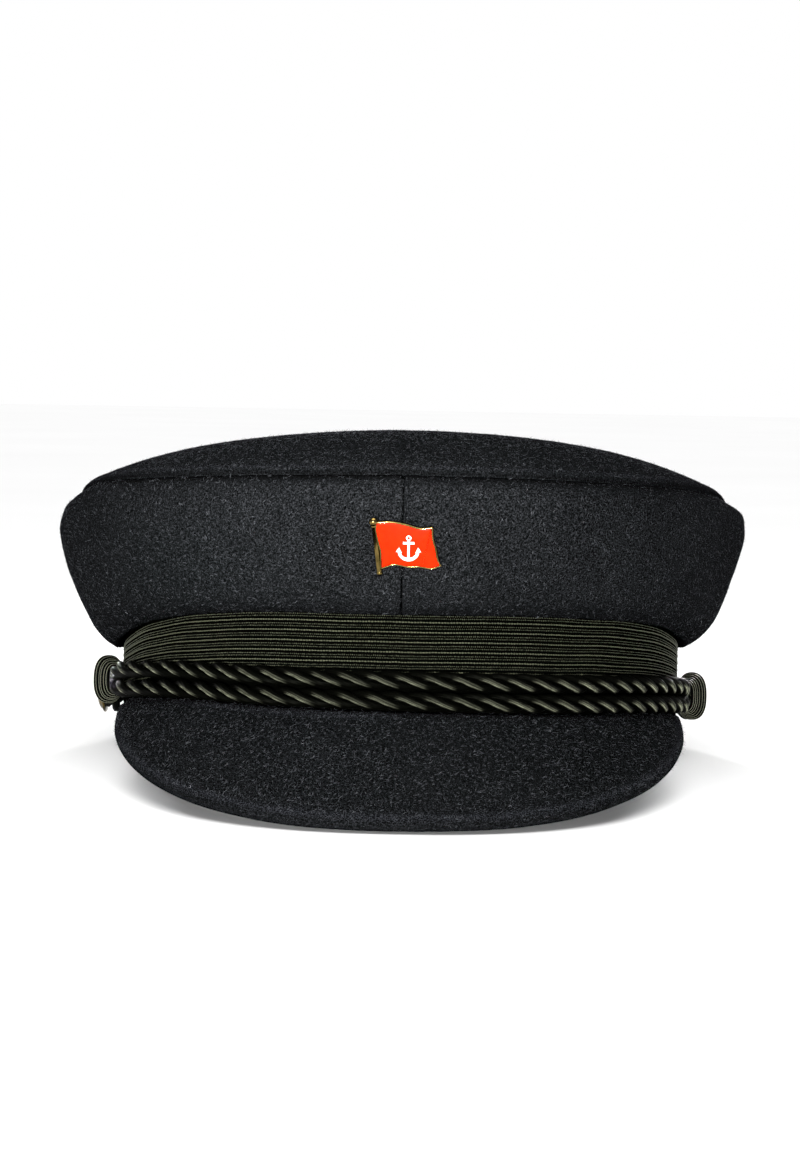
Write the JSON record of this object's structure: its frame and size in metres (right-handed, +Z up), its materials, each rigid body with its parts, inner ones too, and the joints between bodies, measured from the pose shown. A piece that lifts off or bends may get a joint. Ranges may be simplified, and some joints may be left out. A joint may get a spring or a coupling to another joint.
{
  "type": "captain hat",
  "caption": "Black felt captain hat with a wide domed crown, ribbed band, sloping peak, doubled twisted cord on brass buttons and a small enamel flag pin.",
  "frame": {"origin": "centre of the hat's bounding box, on the surface it rests on", "axes": "+Z up from the surface, the peak towards -Y, and +X to the right as seen from the front"},
  "size_m": [0.21, 0.2766, 0.0988],
  "materials": {
    "felt": "brushed wool felt",
    "ribbed_braid": "woven with raised ribs",
    "cord": "twisted yarn with a slight sheen",
    "brass": "polished",
    "red_enamel": "glossy enamel",
    "white_enamel": "glossy enamel"
  },
  "bodies": {
    "root": {"head_band": "felt", "ribbed_band": "ribbed_braid", "crown_side_left": "felt", "crown_side_right": "felt", "crown_tip": "felt", "peak": "felt", "cord": "cord", "keeper_left": "cord", "keeper_right": "cord", "button_left": "brass", "button_right": "brass", "pin_body": "brass", "pin_enamel": "red_enamel", "pin_motif": "white_enamel", "pin_post": "brass"}
  },
  "joints": []
}
